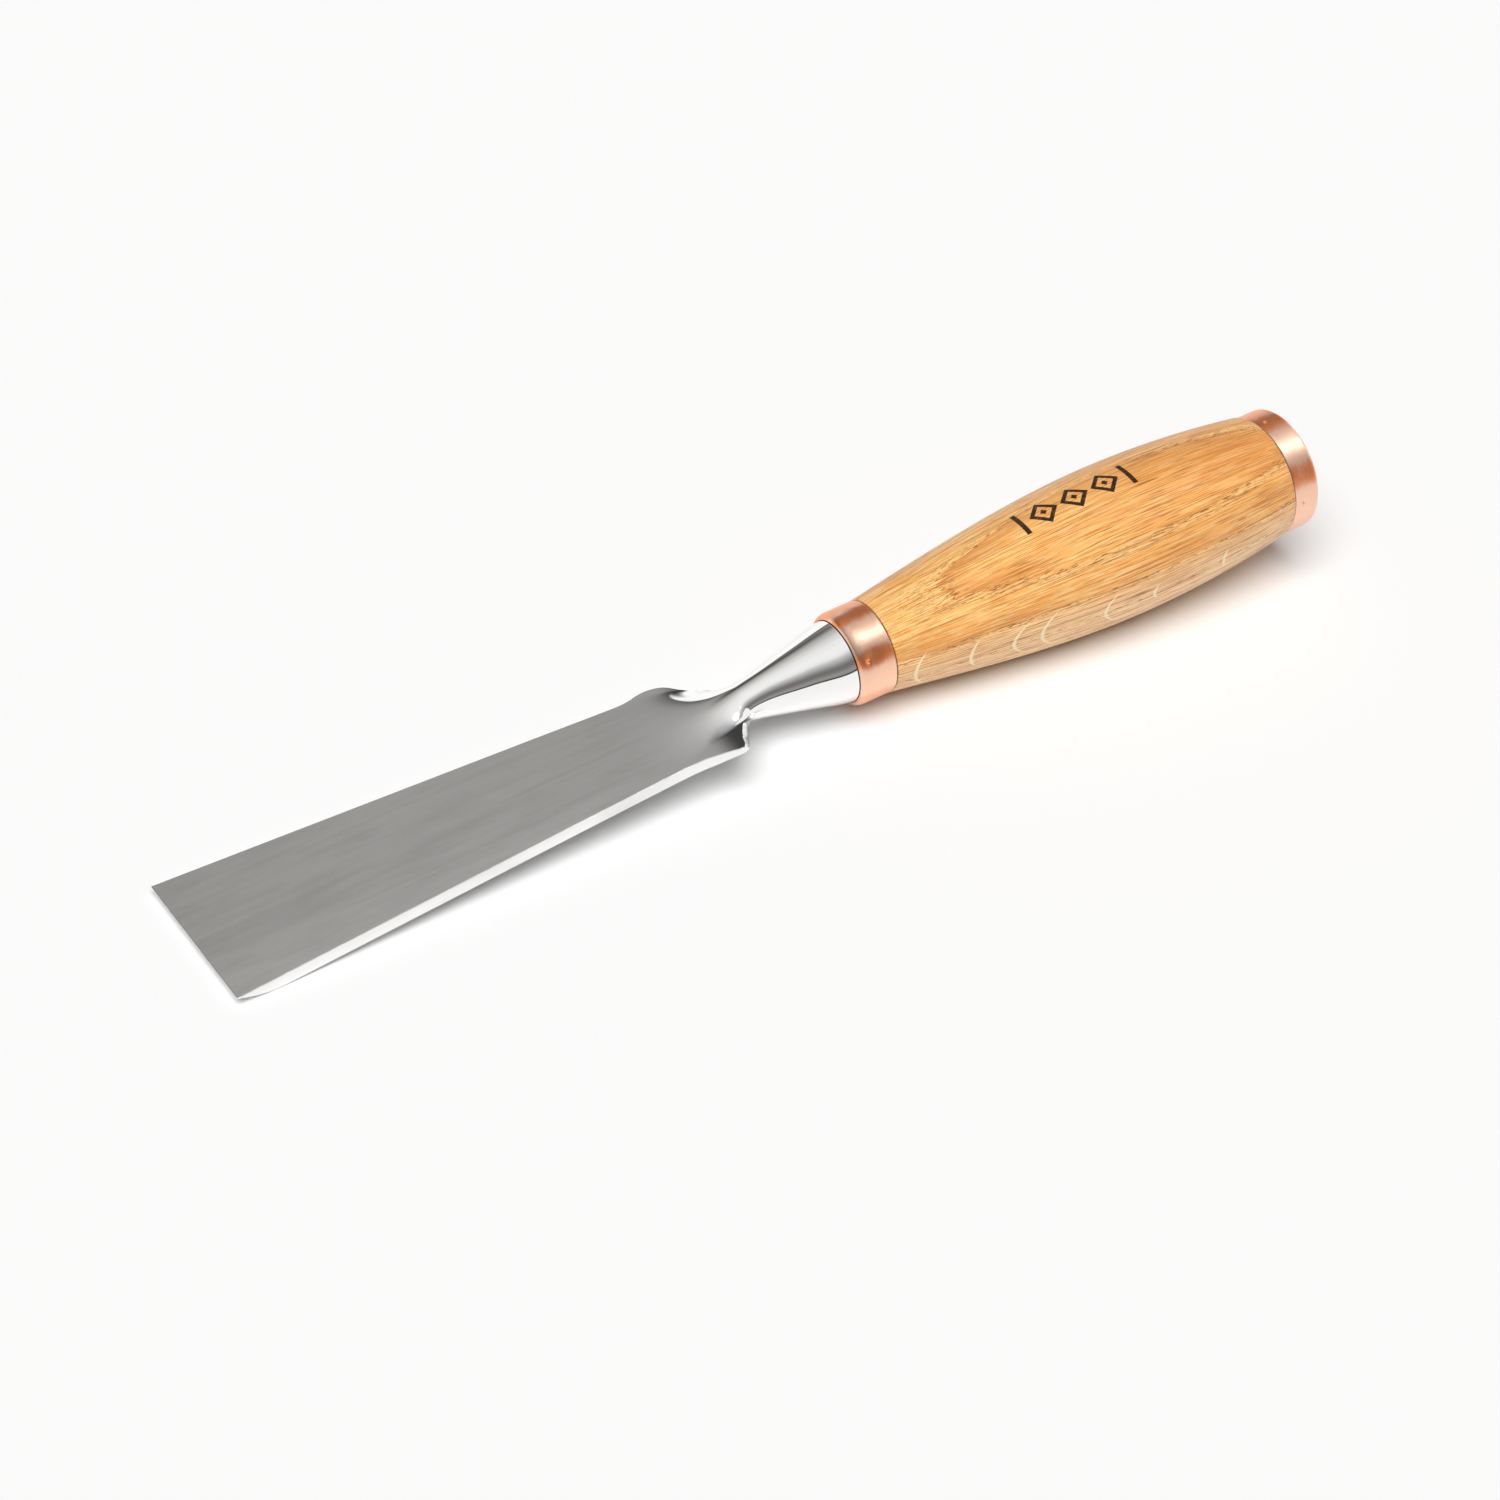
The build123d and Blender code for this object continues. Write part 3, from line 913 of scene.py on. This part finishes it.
@dataclass(frozen=True)
class Forging:
    """Blade, shoulders, neck, bolster and tang in one piece of steel."""

    axes: ToolAxes
    edge_land: float = 0.15
    edge_drop: float = 1.1
    half_thickness: float = 1.5
    bevel_slope: float = 0.42
    bevel_rounding: float = 2.0
    bevel_end: float = 30.0
    level_from: float = 112.0  # ahead of this the plate's middle plane sinks towards the edge
    edge_blend: float = 0.3
    rounding: float = 0.16  # of the long corners
    rounding_limit: float = 0.45  # share of the thickness that a rounding may take
    least_thickness: float = 0.2
    far_heel: float = 0.4  # extra rounding where the far shoulder falls away
    heel_fall: Span = (0.15, 1.1)  # slopes of the outline over which that sets in
    near_heel: Span = (131.6, 134.2)  # the near shoulder's rear bevel sets in here
    near_heel_end: Span = (137.0, 140.0)  # and fades out here
    heel_bevel: float = 1.25
    heel_slope: float = 0.75
    heel_blend: float = 0.25
    shoulders: Span = (121.0, 134.0)  # where the plate thins
    shoulder_tail: float = 0.35  # how far it goes on thinning, as a share of that way
    thinning: float = 0.62
    foot_thinning: float = 0.45
    swelling_until: float = 130.0
    blade_power: float = 1.6  # of the swelling's section on the blade
    round_power: float = 0.5  # and where the section is a circle
    crest_from: float = 104.0
    crest_power: float = 2.8
    neck: float = 140.0
    neck_radius: float = 4.4
    mouth: float = 167.4
    land_radius: float = 10.4
    round_from: float = 137.5
    round_to: float = 143.0
    land_end: float = 169.4
    tang_length: float = 66.0
    tang_root: float = 8.0
    tang_tip: float = 4.4
    tang_stations: int = 12
    edge_stations: tuple[float, ...] = (0.0, 0.03, 0.12, 0.3)
    station_runs: tuple[tuple[float, float, int], ...] = (  # first, last and how many
        (0.6, 14.0, 36), (15.0, 104.0, 46), (105.0, 127.5, 60), (127.8, 146.0, 150),
        (146.5, 167.4, 36),
    )
    land_station: float = 168.0
    half_round: int = 120
    slope_step: float = 0.05  # way over which the outline's slope is taken

    def upper(self, x: np.ndarray, y: np.ndarray) -> np.ndarray:
        """Height of the upper face over the middle plane.

        The plate, plus a swelling: (crest - plate) * (1 - (y / width)^2) ^ power. The power falls from
        blade_power to round_power behind the neck, where the section is a circle.

        Args:
            x: Distance from the cutting edge.
            y: Distance from the middle line.

        Returns:
            The height, in the shape of y.
        """
        plate = self.level(x)
        fallen = smooth_step(self.swelling_until, self.round_to, x)
        power = self.round_power + (self.blade_power - self.round_power) * (1.0 - fallen)
        width = np.where(y > 0.0, smooth_curve(FAR_SWELLING, x), smooth_curve(NEAR_SWELLING, x))
        inside = np.clip(1.0 - (y / width) ** 2, 0.0, 1.0)
        return plate + (self.crest(x) - plate) * inside**power

    def crest(self, x: np.ndarray) -> np.ndarray:
        """Height of the upper face's middle line over the middle plane.

        On the blade half_thickness; from crest_from to the neck it rises with the power crest_power of the
        way; behind the neck it is the cone's radius.

        Args:
            x: Distance from the cutting edge.

        Returns:
            The height, in the shape of x.
        """
        way = np.clip((x - self.crest_from) / (self.neck - self.crest_from), 0.0, 1.0)
        risen = self.half_thickness + (self.neck_radius - self.half_thickness) * way**self.crest_power
        slope = (self.land_radius - self.neck_radius) / (self.mouth - self.neck)
        cone = np.minimum(self.neck_radius + slope * (x - self.neck), self.land_radius)
        return np.where(x < self.neck, risen, cone)

    def level(self, x: np.ndarray) -> np.ndarray:
        """Height of the plate's upper face over the middle plane.

        Over the shoulders it falls with the square of the way, then evenly, and it is gone where the
        section is a circle.

        Args:
            x: Distance from the cutting edge.

        Returns:
            The height, in the shape of x.
        """
        first, last = self.shoulders
        way = np.clip((x - first) / (last - first), 0.0, 1.0)
        beyond = np.clip((x - last) / (last - first), 0.0, self.shoulder_tail)
        plate = self.half_thickness - self.thinning * (way * way + 2.0 * beyond)
        return plate * (1.0 - smooth_step(self.round_from, self.round_to, x))

    def stations(self) -> np.ndarray:
        """Where the rings stand: close together at the edge and the shoulders, wider on the flats."""
        runs = (np.linspace(*run) for run in self.station_runs)
        return np.concatenate((self.edge_stations, *runs, (self.land_station, self.land_end)))

    def blade_rings(self) -> np.ndarray:
        """Rings of blade, neck and cone: an upper row and a lower row of points across the width.

        A row's points lie at the cosines of even turns, so that they crowd at the sides. At its sides each
        face drops by a quarter round, and the near shoulder's upper face also by a bevel that falls evenly
        towards the side. The middle plane between the faces sinks towards the edge.

        Returns:
            The rings, shape (stations, points round, 3), in tool millimetres.
        """
        x = self.stations()[:, None]
        count = self.half_round
        spread = np.cos((np.arange(count) + 0.5) * pi / count)[None, :]
        round_share = smooth_step(self.round_from, self.round_to, x)
        spread = spread * (1.0 + (1.0 / spread[0, 0] - 1.0) * (1.0 - round_share))
        is_far = spread > 0.0
        half, behind = self.half_width(x, is_far), self.half_width(x + self.slope_step, is_far)
        y = half * spread
        fall = (behind - half) / self.slope_step
        rim = (half - np.abs(y)) / np.sqrt(1.0 + fall**2)  # distance square to the side
        middle = -self.edge_drop * soft_max(1.0 - x / self.level_from, 0.0 * x, self.edge_blend)
        height = self.upper(x, y)
        full = 0.0 * x + 2.0 * self.half_thickness
        bevel = soft_min(self.edge_land + self.bevel_slope * x, full, self.bevel_rounding)
        under = np.maximum(bevel, self.edge_land) - self.half_thickness
        sides = 1.0 - round_share
        thinned = self.foot_thinning * smooth_step(*self.shoulders, x) * sides
        depth = np.where(x < self.bevel_end, np.minimum(height, under), height - thinned)
        eased = np.where(is_far, self.far_heel, 0.0) * smooth_step(*self.heel_fall, -fall) * sides
        rounding = np.minimum(self.rounding + eased, self.rounding_limit * (height + depth))
        dropped = self.rounded(rim, rounding) * sides
        heel = smooth_step(*self.near_heel, x) * (1.0 - smooth_step(*self.near_heel_end, x))
        heel = np.where(is_far, 0.0, heel)
        bevelled = self.heel_slope * soft_max(self.heel_bevel * heel - rim, 0.0 * rim, self.heel_blend)
        foot = depth - dropped
        top = np.maximum(height - dropped - bevelled * heel, self.least_thickness - foot)
        upper = np.stack(np.broadcast_arrays(x, y, middle + top), axis=-1)
        lower = np.stack(np.broadcast_arrays(x, y, middle - foot), axis=-1)
        return np.concatenate((upper, lower[:, ::-1]), axis=1)

    @staticmethod
    def half_width(x: np.ndarray, is_far: np.ndarray) -> np.ndarray:
        """Half width of the forging at x, on the far side or the near one."""
        return np.where(is_far, smooth_curve(FAR_OUTLINE, x), smooth_curve(NEAR_OUTLINE, x))

    @staticmethod
    def rounded(rim: np.ndarray, radius: np.ndarray) -> np.ndarray:
        """How far a quarter round of that radius has dropped at a distance rim from the side."""
        way = np.clip(radius - rim, 0.0, None)
        return radius - np.sqrt(np.clip(radius**2 - way**2, 0.0, None))

    def tang_rings(self) -> np.ndarray:
        """Square rings of the tang, their sides shrinking evenly from root to tip.

        Returns:
            The rings, shape (stations, points round, 3), in tool millimetres.
        """
        count = self.half_round
        turn = (np.arange(2 * count) + 0.5) * pi / count
        square = np.clip(np.stack((np.cos(turn), np.sin(turn)), axis=-1) * sqrt(2.0), -1.0, 1.0)
        share = np.linspace(0.0, 1.0, self.tang_stations)[:, None, None]
        half = (self.tang_root + (self.tang_tip - self.tang_root) * share) / 2
        x = np.broadcast_to(self.land_end + self.tang_length * share, (self.tang_stations, 2 * count, 1))
        return np.concatenate((x, half * square), axis=-1)

    def build(self) -> bpy.types.Object:
        """Builds and dresses the forging.

        Returns:
            The linked object.
        """
        rings = np.concatenate((self.blade_rings(), self.tang_rings()))
        piece = Skin("blade", rings).build(self.axes)
        piece.data.materials.append(PolishedSteel(self.axes).material())
        return piece


@dataclass(frozen=True)
class Handle:
    """Barrel-shaped handle with a tenon at each end and a square mortise."""

    axes: ToolAxes
    front: float = 169.4
    ferrule_back: float = 177.0
    hoop_front: float = 292.7
    butt: float = OVERALL
    front_radius: float = 11.8
    tenon_radius: float = 10.6
    belly: float = 249.3
    belly_radius: float = 19.2
    taper_slope: float = 0.146
    back_radius: float = 15.9
    hoop_tenon_radius: float = 14.2
    arris: float = 0.5
    arris_depth: float = 0.6  # share of a full quarter round
    face_ring: float = 0.72  # a ring of points on the front face, as a share of the tenon's radius
    dome: float = 0.4
    crown: float = 0.5  # the butt's crown and its corner are measured in domes
    corner_start: float = 1.6
    corner_middle: Span = (0.9, 0.45)
    mortise_length: float = 66.1
    mortise_root: float = 8.2
    mortise_tip: float = 4.6
    mortise_stations: int = 10
    front_stations: int = 90
    back_stations: int = 60
    crown_stations: int = 14
    around: int = 240

    def side(self) -> np.ndarray:
        """Distance and radius along the visible wood.

        Ahead of the belly a cubic curve with the taper's slope at one end and level at the other;
        behind it a circle's arc that is level at the belly and meets the hoop's front.

        Returns:
            Pairs of distance and radius, in rising order of distance.
        """
        share = np.linspace(0.0, 1.0, self.front_stations)
        third = (self.belly - self.ferrule_back) / 3
        x = self.ferrule_back + 3 * third * share
        low = self.front_radius * (1 - share) ** 3
        rising = 3 * share * (1 - share) ** 2 * (self.front_radius + third * self.taper_slope)
        high = self.belly_radius * (3 * share**2 * (1 - share) + share**3)
        front = np.stack((x, low + rising + high), axis=-1)
        reach, drop = self.hoop_front - self.belly, self.belly_radius - self.back_radius
        curve = (reach**2 + drop**2) / (2 * drop)
        x = np.linspace(self.belly, self.hoop_front, self.back_stations)[1:]
        radius = self.belly_radius - curve + np.sqrt(curve**2 - (x - self.belly) ** 2)
        back = np.stack((x, radius), axis=-1)
        profile = np.concatenate((front, back))
        ease = self.arris
        for end, sign in ((self.ferrule_back, 1.0), (self.hoop_front, -1.0)):
            way = np.clip(ease - sign * (profile[:, 0] - end), 0.0, ease)
            profile[:, 1] -= self.arris_depth * (ease - np.sqrt(ease**2 - way**2))
        return profile

    def outline(self) -> np.ndarray:
        """Distance and radius of the whole outside, from the mortise's mouth to the butt's middle.

        The butt's crown is a quarter of an ellipse, low and wide.

        Returns:
            Pairs of distance and radius.
        """
        side = self.side()
        front = np.array(
            (
                (self.front, self.face_ring * self.tenon_radius),
                (self.front, self.tenon_radius),
                (self.ferrule_back, self.tenon_radius),
                (self.ferrule_back, 0.5 * (self.tenon_radius + self.front_radius)),
            )
        )
        share = np.linspace(0.0, 1.0, self.crown_stations)[1:-1]
        radius = (self.hoop_tenon_radius - self.dome) * np.cos(share * pi / 2)
        sunk = self.dome * (1.0 - np.sin(share * pi / 2)) * self.crown
        crown = np.stack((self.butt - sunk, radius), axis=-1)
        along, inwards = self.corner_middle
        back = np.array(
            (
                (self.hoop_front, 0.5 * (self.back_radius + self.hoop_tenon_radius)),
                (self.hoop_front, self.hoop_tenon_radius),
                (self.butt - self.corner_start * self.dome, self.hoop_tenon_radius),
                (self.butt - along * self.dome, self.hoop_tenon_radius - inwards * self.dome),
            )
        )
        return np.concatenate((front, side, back, crown))

    def build(self) -> bpy.types.Object:
        """Builds and dresses the handle, mortise first, so that one skin covers inside and outside.

        Returns:
            The linked object.
        """
        turn = circle_turns(self.around)
        circle = np.stack((np.cos(turn), np.sin(turn)), axis=-1)
        square = np.clip(circle * sqrt(2.0), -1.0, 1.0)
        share = np.linspace(1.0, 0.0, self.mortise_stations)[:, None, None]
        half = (self.mortise_root + (self.mortise_tip - self.mortise_root) * share) / 2
        x = np.broadcast_to(self.front + self.mortise_length * share, (self.mortise_stations, self.around, 1))
        inside = np.concatenate((x, half * square), axis=-1)
        outline = self.outline()
        x = np.broadcast_to(outline[:, None, :1], (len(outline), self.around, 1))
        outside = np.concatenate((x, outline[:, 1:, None] * circle), axis=-1)
        piece = Skin("oak_handle", np.concatenate((inside, outside))).build(self.axes)
        piece.data.materials.append(OiledOak(self.axes).material())
        return piece


@dataclass(frozen=True)
class CopperRing:
    """A copper ring, tight on the wood, with rounded lips, stake marks and hand-worked dents."""

    axes: ToolAxes
    name: str
    front: float
    length: float
    radius: float
    bore: float
    front_lip: Span  # along the axis, and towards it
    back_lip: Span
    stakes: tuple[Span, ...]  # distance behind the front, turn in degrees
    dents: tuple[Triple, ...] = ()  # distance behind the front, turn, depth
    stake_depth: float = 0.35
    stake_size: Span = (0.45, 0.45)
    dent_size: Span = (2.2, 1.6)
    waves: tuple[tuple[float, int, float, float], ...] = (  # height, count round, twist and start
        (1.0, 3, 0.9, 0.0), (1.0, 7, -0.6, 1.0), (0.7, 12, 1.0, 0.0),
    )
    wave_height: float = 0.0144
    lip_stations: int = 12
    outer_stations: int = 46
    bore_stations: int = 6
    around: int = 360

    def outline(self) -> np.ndarray:
        """Distance and radius round the ring's section: outside with its two lips, then the bore.

        Each lip is a quarter of an ellipse.

        Returns:
            Pairs of distance and radius.
        """
        quarter = np.linspace(0.0, pi / 2, self.lip_stations)
        back = self.front + self.length
        (lip, lip_drop), (tail, tail_drop) = self.front_lip, self.back_lip
        x = self.front + lip * (1 - np.sin(quarter))
        start = np.stack((x, self.radius - lip_drop * (1 - np.cos(quarter))), axis=-1)[::-1]
        x = back - tail * (1 - np.sin(quarter))
        end = np.stack((x, self.radius - tail_drop * (1 - np.cos(quarter))), axis=-1)
        x = np.linspace(self.front + lip, back - tail, self.outer_stations)[1:-1]
        outer = np.stack((x, np.full_like(x, self.radius)), axis=-1)
        x = np.linspace(back, self.front, self.bore_stations)
        inner = np.stack((x, np.full_like(x, self.bore)), axis=-1)
        return np.concatenate((start, outer, end, inner))

    def build(self) -> bpy.types.Object:
        """Builds and dresses the ring.

        Only its outside is worked: stakes, dents and the waves of the hammer never reach the bore.

        Returns:
            The linked object.
        """
        turn = circle_turns(self.around)[None, :]
        section = self.outline()
        x, radius = section[:, :1], section[:, 1:]
        worked = np.clip((radius - self.bore) / (self.radius - self.bore), 0.0, 1.0)
        way = x - self.front
        relief = np.zeros((len(section), self.around))
        for along, turned in self.stakes:
            relief -= self.stake_depth * dent(turn, way, self.radius, (along, turned), self.stake_size)
        for along, turned, depth in self.dents:
            relief -= depth * dent(turn, way, self.radius, (along, turned), self.dent_size)
        for height, count, twist, start in self.waves:
            relief += self.wave_height * height * (np.sin(count * turn + twist * way + start) - 1.0)
        outer = radius + worked * relief
        x = np.broadcast_to(x, outer.shape)
        rings = np.stack((x, outer * np.cos(turn), outer * np.sin(turn)), axis=-1)
        piece = Skin(self.name, rings, closed_along=True).build(self.axes)
        piece.data.materials.append(BrushedCopper(self.axes).material())
        return piece


# ---- Studio --------------------------------------------------------------------------------------
@dataclass(frozen=True)
class Studio:
    """White table, soft overhead key light, and a room whose brightness changes with height."""

    floor_size: float = 8.0
    floor_lines: int = 9
    key_strength: float = 3.32
    key_degrees: float = 54.0
    key_off_vertical: Span = (-16.0, -22.0)  # along X and along Y, in degrees
    fill: float = 0.12
    fill_colour: Triple = (1.0, 0.985, 0.96)
    backdrop: Triple = (0.97, 0.97, 0.97)
    sides: Span = (-0.25, 0.25)  # where the near half gives way to the far one, along Y
    middle: Span = (0.07, 0.14)  # where the far half's left gives way to its middle, along X
    right: Span = (0.36, 0.43)  # and its middle to its right
    straight: Span = (0.60, 0.66)  # beyond this, along X, all is white
    straight_colour: Triple = (0.97, 0.96, 0.94)
    softbox: Triple = (0.45, -0.28, 0.85)  # its direction
    softbox_reach: float = 6.0
    softbox_edge: float = 2.0
    softbox_glow: Triple = (9.0, 9.0, 9.0)
    camera_place: Triple = (-0.354685, -0.563013, 0.492492)
    camera_aim: Triple = (-0.009334, -0.003037, 0.0)
    camera_roll: float = 0.31
    focal_length: float = 84.0
    sensor: float = 36.0
    sight: float = 50.0

    def floor(self) -> bpy.types.Object:
        """The table: a large square of even squares.

        Returns:
            The linked object.
        """
        reach, count = self.floor_size / 2, self.floor_lines
        line = np.linspace(-reach, reach, count)
        x, y = np.meshgrid(line, line, indexing="ij")
        points = np.stack((x, y, np.zeros_like(x)), axis=-1).reshape(-1, 3)
        index = np.arange(count * count).reshape(count, count)
        corners = (index[:-1, :-1], index[1:, :-1], index[1:, 1:], index[:-1, 1:])
        quads = np.stack(corners, axis=-1).reshape(-1, 4)
        mesh = bpy.data.meshes.new("table")
        mesh.from_pydata(points.tolist(), [], quads.tolist())
        floor = bpy.data.objects.new("table", mesh)
        bpy.context.scene.collection.objects.link(floor)
        mesh.materials.append(PaleFloor().material())
        return floor

    def key_light(self) -> None:
        """A broad soft light nearly overhead. Mirror-like surfaces see the room instead of it."""
        lamp = bpy.data.lights.new("key", "SUN")
        lamp.energy = self.key_strength
        lamp.angle = radians(self.key_degrees)
        light = bpy.data.objects.new("key", lamp)
        light.visible_glossy = False
        lean_x, lean_y = (np.tan(radians(lean)) for lean in self.key_off_vertical)
        light.rotation_mode = "QUATERNION"
        light.rotation_quaternion = Vector((lean_x, lean_y, 1.0)).to_track_quat("Z", "Y")
        bpy.context.scene.collection.objects.link(light)

    def room(self) -> None:
        """Mirror-like surfaces see a room in two halves; all else gets a weak even fill.

        Far half: a white sweep low down, a dark gap above it, then ever lighter to the zenith. The gap
        changes from left to right, and far to the right, behind the handle's end, all is white.
        Near half: dark low down, a bright panel high up. A small softbox stands high on the right.
        """
        world = bpy.data.worlds.new("room")
        bpy.context.scene.world = world
        world.use_nodes = True
        world.cycles.sampling_method = "NONE"
        bench = NodeBench(world.node_tree)
        looking = bench.add("ShaderNodeTexCoord").outputs["Generated"]
        x, y, z = bench.parts(looking)
        height = bench.math("ARCSINE", z) * (2.0 / pi)
        ramps = (FAR_LEFT, FAR_MIDDLE, FAR_RIGHT, NEAR_SIDE)
        settings = ({"stops": self._stops(heights)} for heights in ramps)
        nodes = (bench.add("ShaderNodeValToRGB", setting, {"Fac": height}) for setting in settings)
        left, middle, right, near = (node.outputs["Color"] for node in nodes)
        far = bench.blend(x.step(*self.middle), left, middle)
        far = bench.blend(x.step(*self.right), far, right)
        seen = bench.blend(y.step(*self.sides), near, far)
        seen = bench.blend(x.step(*self.straight), seen, self.straight_colour)
        seen = bench.blend(self._softbox(bench, looking), seen, self.softbox_glow)
        rays = bench.add("ShaderNodeLightPath").outputs
        lit = self._glow(bench, (*self.fill_colour, 1.0), self.fill)
        lit = self._instead(bench, rays["Is Glossy Ray"], lit, self._glow(bench, seen))
        lit = self._instead(bench, rays["Is Camera Ray"], lit, self._glow(bench, (*self.backdrop, 1.0)))
        bench.add("ShaderNodeOutputWorld", None, {"Surface": lit})

    def _softbox(self, bench: NodeBench, looking: Socket) -> Value:
        """Share of the softbox: full within its reach in degrees, and gone at its edge beyond.

        Args:
            bench: The room's bench.
            looking: The direction looked in.

        Returns:
            The share.
        """
        middle = tuple(Vector(self.softbox).normalized())
        dot = bench.add("ShaderNodeVectorMath", {"operation": "DOT_PRODUCT"}, {0: looking, 1: middle})
        outside, inside = (cos(radians(self.softbox_reach + edge)) for edge in (self.softbox_edge, 0.0))
        return Value(bench, dot.outputs["Value"]).step(outside, inside)

    @staticmethod
    def _glow(bench: NodeBench, colour: Any, strength: float = 1.0) -> Socket:
        """An even light of a colour."""
        sockets = {"Color": colour, "Strength": strength}
        return bench.add("ShaderNodeBackground", None, sockets).outputs[0]

    @staticmethod
    def _instead(bench: NodeBench, chosen: Socket, light: Socket, other: Socket) -> Socket:
        """The other light in place of a light, for the chosen rays."""
        return bench.add("ShaderNodeMixShader", None, {0: chosen, 1: light, 2: other}).outputs[0]

    @staticmethod
    def _stops(heights: Sequence[tuple[float, Triple]]) -> list[tuple[float, Triple]]:
        """Turns (degrees of elevation, colour) pairs into a ramp's stops."""
        return [(elevation / 90.0, colour) for elevation, colour in heights]

    def camera(self) -> None:
        """A long lens that looks down on the tool from its near left."""
        lens = bpy.data.cameras.new("camera")
        lens.lens = self.focal_length
        lens.sensor_width = self.sensor
        lens.clip_end = self.sight
        camera = bpy.data.objects.new("camera", lens)
        forward = Vector(self.camera_aim) - Vector(self.camera_place)
        level = forward.to_track_quat("-Z", "Y").to_matrix()
        turned = level @ Matrix.Rotation(radians(-self.camera_roll), 3, "Z")
        camera.matrix_world = Matrix.Translation(self.camera_place) @ turned.to_4x4()
        bpy.context.scene.collection.objects.link(camera)
        bpy.context.scene.camera = camera

    def build(self) -> bpy.types.Object:
        """Sets up the studio.

        Returns:
            The floor.
        """
        bpy.context.scene.view_settings.view_transform = "Standard"
        self.room()
        self.key_light()
        self.camera()
        return self.floor()


def grey(level: float, warmth: float = 0.0) -> Triple:
    """A grey, the warmer the greater warmth is."""
    return (level, level * (1.0 - 0.5 * warmth), level * (1.0 - warmth))


# What a mirror sees at each height over the horizon, in degrees.
FAR_LEFT = (
    (0.0, grey(1.05)),
    (26.0, grey(1.05)),
    (28.0, grey(0.4)),
    (31.0, grey(0.06)),
    (40.0, grey(0.07)),
    (47.0, grey(0.24, 0.10)),
    (54.0, grey(0.44, 0.08)),
    (62.0, grey(0.54, 0.06)),
    (69.0, grey(0.68, 0.05)),
    (77.0, grey(0.77, 0.04)),
    (90.0, grey(0.90, 0.03)),
)
FAR_MIDDLE = (
    (0.0, grey(1.05)),
    (24.6, grey(1.05)),
    (25.8, grey(0.10)),
    (29.0, grey(0.18, 0.05)),
    (35.0, grey(0.31, 0.05)),
    (42.0, grey(0.37, 0.04)),
    (54.0, grey(0.50, 0.04)),
    (70.0, grey(0.72, 0.04)),
    (90.0, grey(0.90, 0.03)),
)
FAR_RIGHT = (
    (0.0, grey(1.05)),
    (14.0, grey(1.05)),
    (18.0, grey(0.25)),
    (22.0, grey(0.05)),
    (38.0, grey(0.05)),
    (46.0, grey(0.20)),
    (56.0, grey(0.44)),
    (70.0, grey(0.68)),
    (90.0, grey(0.90)),
)
NEAR_SIDE = (
    (0.0, grey(0.05, 0.1)),
    (3.0, grey(0.05, 0.1)),
    (5.5, grey(0.30, 0.08)),
    (12.0, grey(0.30, 0.08)),
    (19.0, grey(0.20, 0.1)),
    (27.0, grey(0.17, 0.06)),
    (34.0, grey(0.26, 0.05)),
    (42.0, grey(0.42, 0.03)),
    (50.0, grey(0.60)),
    (57.0, grey(0.85)),
    (65.0, grey(0.93)),
    (80.0, grey(0.93)),
    (90.0, grey(0.90, 0.03)),
)


# ---- Building ------------------------------------------------------------------------------------
def copper_rings(axes: ToolAxes) -> tuple[CopperRing, CopperRing]:
    """The ferrule and the striking hoop.

    Args:
        axes: Where the tool lies in the frame.

    Returns:
        The two rings, the ferrule first.
    """
    ferrule = CopperRing(
        axes=axes,
        name="copper_ferrule",
        front=167.4,
        length=9.6,
        radius=11.8,
        bore=10.55,
        front_lip=(2.3, 1.3),
        back_lip=(0.25, 0.2),
        stakes=((2.6, 154.0), (2.6, 274.0), (2.6, 34.0)),
        dents=((4.0, 150.0, 0.12), (6.5, 90.0, 0.10), (3.0, 76.0, 0.10), (5.5, 200.0, 0.06)),
    )
    hoop = CopperRing(
        axes=axes,
        name="copper_hoop",
        front=292.7,
        length=7.3,
        radius=15.6,
        bore=14.2,
        front_lip=(0.3, 0.25),
        back_lip=(0.9, 0.8),
        stakes=((2.4, 90.0), (2.4, 180.0), (2.4, 270.0), (2.4, 0.0)),
        wave_height=0.0072,
    )
    return ferrule, hoop


def attach(piece: bpy.types.Object, node: str, slot: Slot) -> None:
    """Rides a piece on the body, in place of its solid, and logs the slot of its material.

    Args:
        piece: The piece.
        node: The solid that it stands for.
        slot: The slot of its material.
    """
    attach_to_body(piece, "root")
    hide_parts(node)
    corners = len(piece.data.vertices)
    log.info("%s stands for %s, %d points, slot %s", piece.name, node, corners, slot.value)


def main() -> None:
    """Builds the chisel and its studio."""
    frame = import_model()
    axes = ToolAxes.from_record(frame["record"], OVERALL)
    attach(Forging(axes).build(), "blade_forging", Slot.STEEL)
    attach(Handle(axes).build(), "handle", Slot.OAK)
    ferrule, hoop = copper_rings(axes)
    attach(ferrule.build(), "ferrule", Slot.COPPER)
    attach(hoop.build(), "striking_hoop", Slot.COPPER)
    Studio().build()


if __name__ == "__main__":
    logging.basicConfig(level=logging.INFO)
    main()
